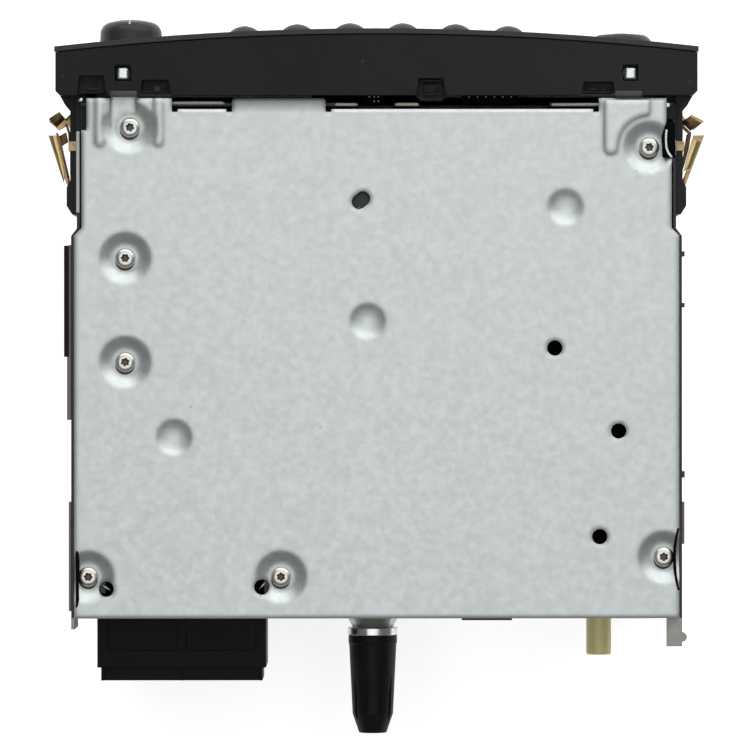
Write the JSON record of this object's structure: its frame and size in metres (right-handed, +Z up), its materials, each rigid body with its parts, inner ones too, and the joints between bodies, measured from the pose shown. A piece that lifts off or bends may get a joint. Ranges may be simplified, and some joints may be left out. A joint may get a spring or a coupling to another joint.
{
  "type": "car cd player",
  "caption": "Double-height car disc player: pressed steel casing, curved dark fascia with knob, pad and disc slot, release springs, rear connector and rubber-booted guide pin.",
  "frame": {"origin": "on the underside of the bottom cover, at the middle of its width and of the casing's depth", "axes": "+X to the right as seen from the front, +Y from the front towards the rear, +Z up to the large pressed cover"},
  "size_m": [0.1944, 0.2172, 0.1011],
  "materials": {
    "casing_steel": "zinc-plated pressed sheet, satin",
    "screw_steel": "bright nickel plate",
    "pad_foam": "dark foam strip",
    "fascia_plastic": "fine-grained dark grey moulding",
    "panel_plastic": "satin dark grey moulding",
    "lip_felt": "black flocked strip",
    "lens_plastic": "smoked clear moulding, polished",
    "display_black": "dark display module",
    "board_green": "green lacquered circuit board",
    "switch_plastic": "black moulding",
    "key_plastic": "soft-touch dark grey",
    "knob_plastic": "satin dark grey, rounded",
    "encoder_metal": "plated can and bush",
    "spring_brass": "dull brass strip",
    "connector_plastic": "black moulding",
    "contact_metal": "plated contacts",
    "aerial_metal": "yellow passivated turned metal",
    "pin_steel": "plated turned steel",
    "boot_rubber": "black fluted rubber",
    "can_plastic": "dark sleeved cans",
    "chip_plastic": "black packages",
    "shield_steel": "tinned sheet",
    "mechanism_steel": "zinc-plated sheet",
    "damper_rubber": "soft black rubber",
    "shaft_steel": "ground bright steel",
    "roller_rubber": "black rubber sleeve",
    "gear_plastic": "natural white moulding",
    "guide_plastic": "black moulding",
    "motor_steel": "plated can",
    "sled_plastic": "dark moulding"
  },
  "bodies": {
    "chassis": {"top_cover": "casing_steel", "bottom_cover": "casing_steel", "side_wall_right": "casing_steel", "side_wall_left": "casing_steel", "front_plate": "casing_steel", "rear_plate": "casing_steel", "casing_screws": "screw_steel", "side_pad": "pad_foam", "side_brackets": "shield_steel", "fascia_frame": "fascia_plastic", "front_panel": "panel_plastic", "dust_lips": "lip_felt", "display_lens": "lens_plastic", "display": "display_black", "front_board": "board_green", "key_switches": "switch_plastic", "encoder": "encoder_metal", "spring_mounts": "spring_brass", "rear_connector": "connector_plastic", "aerial_socket": "aerial_metal", "rear_contacts": "contact_metal", "guide_pin": "pin_steel", "guide_boot": "boot_rubber", "main_board": "board_green", "capacitors": "can_plastic", "tuner_shield": "shield_steel", "board_parts": "chip_plastic", "lid_board": "board_green", "mechanism_brackets": "mechanism_steel", "dampers": "damper_rubber"},
    "mechanism": {"mechanism_base": "mechanism_steel", "spindle_motor": "motor_steel", "guide_rods": "shaft_steel", "motors": "motor_steel"},
    "roller": {"roller_shaft": "shaft_steel", "roller_rubber": "roller_rubber"},
    "idler": {"idler_gear": "gear_plastic"},
    "pinion": {"motor_pinion": "gear_plastic"},
    "turntable": {"turntable": "guide_plastic"},
    "clamp_arm": {"clamp_arm": "mechanism_steel"},
    "clamper": {"clamper": "guide_plastic"},
    "disc_guide": {"disc_guide": "guide_plastic"},
    "lead_screw": {"lead_screw": "shaft_steel"},
    "pickup": {"pickup_sled": "sled_plastic"},
    "plunger": {"encoder_plunger": "encoder_metal"},
    "volume_knob": {"volume_knob": "knob_plastic"},
    "tilting_pad": {"tilting_pad": "knob_plastic"},
    "centre_button": {"centre_button": "key_plastic"},
    "source_key": {"source_key": "key_plastic"},
    "menu_key": {"menu_key": "key_plastic"},
    "eject_key": {"eject_key": "key_plastic"},
    "release_spring_right": {"release_spring_right": "spring_brass"},
    "release_spring_left": {"release_spring_left": "spring_brass"},
    "preset_button_1": {"preset_button_1": "key_plastic"},
    "preset_button_2": {"preset_button_2": "key_plastic"},
    "preset_button_3": {"preset_button_3": "key_plastic"},
    "preset_button_4": {"preset_button_4": "key_plastic"},
    "preset_button_5": {"preset_button_5": "key_plastic"},
    "preset_button_6": {"preset_button_6": "key_plastic"}
  },
  "joints": [
    {"name": "knob_press", "type": "slide", "parent": "chassis", "child": "plunger", "axis": [0, 1, 0], "range_m": [0, 0.0005], "stiffness_N_per_m": 1200},
    {"name": "knob_turn", "type": "hinge", "parent": "plunger", "child": "volume_knob", "pos_m": [0.0746, -0.09372, 0.054], "axis": [0, 1, 0], "continuous": true},
    {"name": "pad_tilt", "type": "hinge", "parent": "chassis", "child": "tilting_pad", "pos_m": [-0.0746, -0.09172, 0.054], "axis": [1, 0, 0], "range_deg": [-2.5, 2.5], "stiffness_Nm_per_rad": 0.2},
    {"name": "centre_press", "type": "slide", "parent": "chassis", "child": "centre_button", "axis": [0, 1, 0], "range_m": [0, 0.0005], "stiffness_N_per_m": 600},
    {"name": "preset_press_1", "type": "slide", "parent": "chassis", "child": "preset_button_1", "axis": [0, 1, 0], "range_m": [0, 0.0005], "stiffness_N_per_m": 600},
    {"name": "preset_press_2", "type": "slide", "parent": "chassis", "child": "preset_button_2", "axis": [0, 1, 0], "range_m": [0, 0.0005], "stiffness_N_per_m": 600},
    {"name": "preset_press_3", "type": "slide", "parent": "chassis", "child": "preset_button_3", "axis": [0, 1, 0], "range_m": [0, 0.0005], "stiffness_N_per_m": 600},
    {"name": "preset_press_4", "type": "slide", "parent": "chassis", "child": "preset_button_4", "axis": [0, 1, 0], "range_m": [0, 0.0005], "stiffness_N_per_m": 600},
    {"name": "preset_press_5", "type": "slide", "parent": "chassis", "child": "preset_button_5", "axis": [0, 1, 0], "range_m": [0, 0.0005], "stiffness_N_per_m": 600},
    {"name": "preset_press_6", "type": "slide", "parent": "chassis", "child": "preset_button_6", "axis": [0, 1, 0], "range_m": [0, 0.0005], "stiffness_N_per_m": 600},
    {"name": "source_press", "type": "slide", "parent": "chassis", "child": "source_key", "axis": [0, 1, 0], "range_m": [0, 0.0005], "stiffness_N_per_m": 600},
    {"name": "menu_press", "type": "slide", "parent": "chassis", "child": "menu_key", "axis": [0, 1, 0], "range_m": [0, 0.0005], "stiffness_N_per_m": 600},
    {"name": "eject_press", "type": "slide", "parent": "chassis", "child": "eject_key", "axis": [0, 1, 0], "range_m": [0, 0.0005], "stiffness_N_per_m": 600},
    {"name": "spring_flex_right", "type": "hinge", "parent": "chassis", "child": "release_spring_right", "pos_m": [0.0912, -0.0515, 0.083], "axis": [0, 0, 1], "range_deg": [-6, 0], "stiffness_Nm_per_rad": 0.2},
    {"name": "spring_flex_left", "type": "hinge", "parent": "chassis", "child": "release_spring_left", "pos_m": [-0.0912, -0.0515, 0.083], "axis": [0, 0, 1], "range_deg": [0, 6], "stiffness_Nm_per_rad": 0.2},
    {"name": "mechanism_float", "type": "slide", "parent": "chassis", "child": "mechanism", "axis": [0, 0, 1], "range_m": [-0.001, 0.001], "stiffness_N_per_m": 20000, "deforming": ["dampers"]},
    {"name": "roller_turn", "type": "hinge", "parent": "mechanism", "child": "roller", "pos_m": [0, -0.0625, 0.0736], "axis": [1, 0, 0], "continuous": true},
    {"name": "idler_turn", "type": "hinge", "parent": "mechanism", "child": "idler", "pos_m": [0.0725, -0.04692, 0.06731], "axis": [1, 0, 0], "continuous": true},
    {"name": "pinion_turn", "type": "hinge", "parent": "mechanism", "child": "pinion", "pos_m": [0.0725, -0.03445, 0.06011], "axis": [1, 0, 0], "continuous": true},
    {"name": "turntable_turn", "type": "hinge", "parent": "mechanism", "child": "turntable", "pos_m": [0, 0.004, 0.0774], "axis": [0, 0, 1], "continuous": true},
    {"name": "arm_lower", "type": "hinge", "parent": "mechanism", "child": "clamp_arm", "pos_m": [0, 0.058, 0.0865], "axis": [1, 0, 0], "range_deg": [0, 3.5]},
    {"name": "clamper_turn", "type": "hinge", "parent": "clamp_arm", "child": "clamper", "pos_m": [0, 0.004, 0.086], "axis": [0, 0, 1], "continuous": true},
    {"name": "guide_lift", "type": "hinge", "parent": "mechanism", "child": "disc_guide", "pos_m": [0, -0.046, 0.081], "axis": [1, 0, 0], "range_deg": [-2, 0]},
    {"name": "lead_turn", "type": "hinge", "parent": "mechanism", "child": "lead_screw", "pos_m": [0.026, 0.018, 0.063], "axis": [0, 1, 0], "range_deg": [0, 3850]},
    {"name": "sled_travel", "type": "slide", "parent": "mechanism", "child": "pickup", "axis": [0, 1, 0], "range_m": [0, 0.032]}
  ],
  "couplings": [
    {"joint": "idler_turn", "follows": "roller_turn", "ratio": -0.61538},
    {"joint": "pinion_turn", "follows": "roller_turn", "ratio": 1.6},
    {"joint": "clamper_turn", "follows": "turntable_turn", "ratio": 1},
    {"joint": "lead_turn", "follows": "sled_travel", "rad_per_m": 2094.4}
  ]
}
